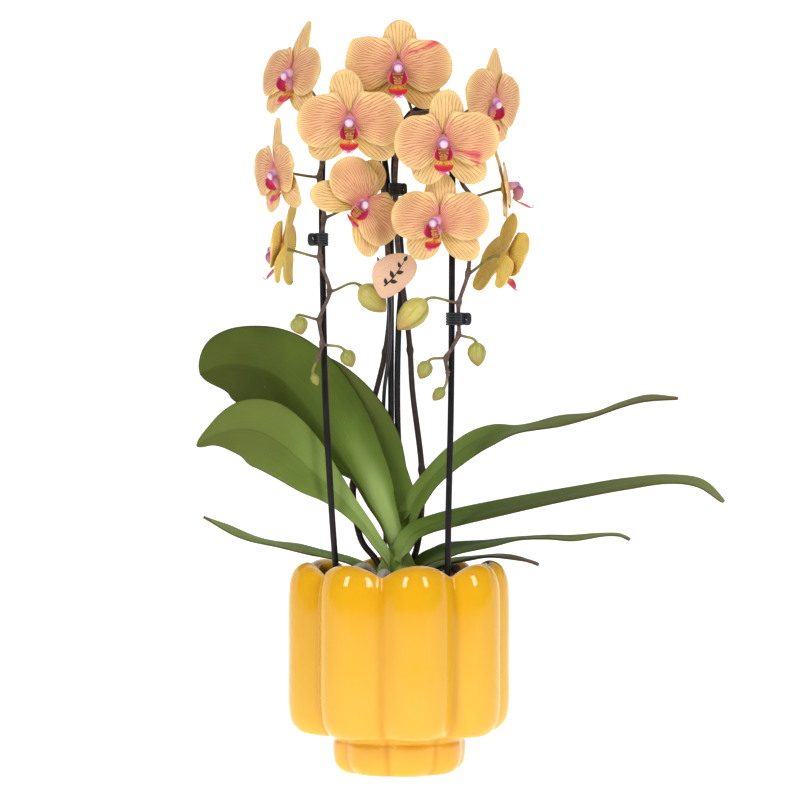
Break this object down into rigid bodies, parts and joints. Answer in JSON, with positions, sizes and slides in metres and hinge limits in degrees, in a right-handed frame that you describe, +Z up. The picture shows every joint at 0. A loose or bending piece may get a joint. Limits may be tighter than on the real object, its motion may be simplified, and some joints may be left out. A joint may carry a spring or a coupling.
{
  "type": "potted orchid",
  "caption": "Moth orchid with peach blooms on arched spikes tied to black wire hoops, in a scalloped yellow glazed pot.",
  "frame": {"origin": "middle of the pot's foot, on the surface it stands on", "axes": "+Z up, the front towards -Y, +X to the viewer's right seen from the front"},
  "size_m": [0.277, 0.1311, 0.3963],
  "materials": {
    "yellow_glaze": "gloss",
    "nursery_plastic": "satin",
    "bark": "matt",
    "crown_green": "satin",
    "leaf_green": "satin",
    "aerial_root": "matt",
    "black_wire": "satin",
    "spike_brown": "satin",
    "tepal_peach": "matt",
    "lip_crimson": "satin",
    "bud_green": "satin",
    "clip_plastic": "satin",
    "spring_wire": "bright",
    "card": "matt"
  },
  "bodies": {
    "root": {"decor_pot": "yellow_glaze", "grow_pot": "nursery_plastic", "bark": "bark", "crown": "crown_green", "leaf_left_top": "leaf_green", "leaf_left_rear": "leaf_green", "leaf_left_front": "leaf_green", "leaf_left_low": "leaf_green", "leaf_right_top": "leaf_green", "leaf_right_mid": "leaf_green", "leaf_right_low": "leaf_green", "leaf_right_under": "leaf_green", "root_left": "aerial_root", "root_front": "aerial_root", "root_rear": "aerial_root", "hoop_left": "black_wire", "hoop_right": "black_wire", "spike_left": "spike_brown", "spike_right": "spike_brown", "bloom_01": "tepal_peach", "bloom_01_lip": "lip_crimson", "bloom_02": "tepal_peach", "bloom_02_lip": "lip_crimson", "bloom_03": "tepal_peach", "bloom_03_lip": "lip_crimson", "bloom_04": "tepal_peach", "bloom_04_lip": "lip_crimson", "bloom_05": "tepal_peach", "bloom_05_lip": "lip_crimson", "bloom_06": "tepal_peach", "bloom_06_lip": "lip_crimson", "bloom_07": "tepal_peach", "bloom_07_lip": "lip_crimson", "bloom_08": "tepal_peach", "bloom_08_lip": "lip_crimson", "bloom_09": "tepal_peach", "bloom_09_lip": "lip_crimson", "bloom_10": "tepal_peach", "bloom_10_lip": "lip_crimson", "bloom_11": "tepal_peach", "bloom_11_lip": "lip_crimson", "bud_left_1": "bud_green", "bud_left_2": "bud_green", "bud_left_3": "bud_green", "bud_left_4": "bud_green", "bud_right_1": "bud_green", "bud_right_2": "bud_green", "bud_right_3": "bud_green", "bud_right_4": "bud_green", "clip_left": "clip_plastic", "clip_left_spring": "spring_wire", "clip_right": "clip_plastic", "clip_right_spring": "spring_wire", "clip_inner": "clip_plastic", "clip_inner_spring": "spring_wire", "tag": "card", "tag_stick": "clip_plastic"}
  },
  "joints": []
}
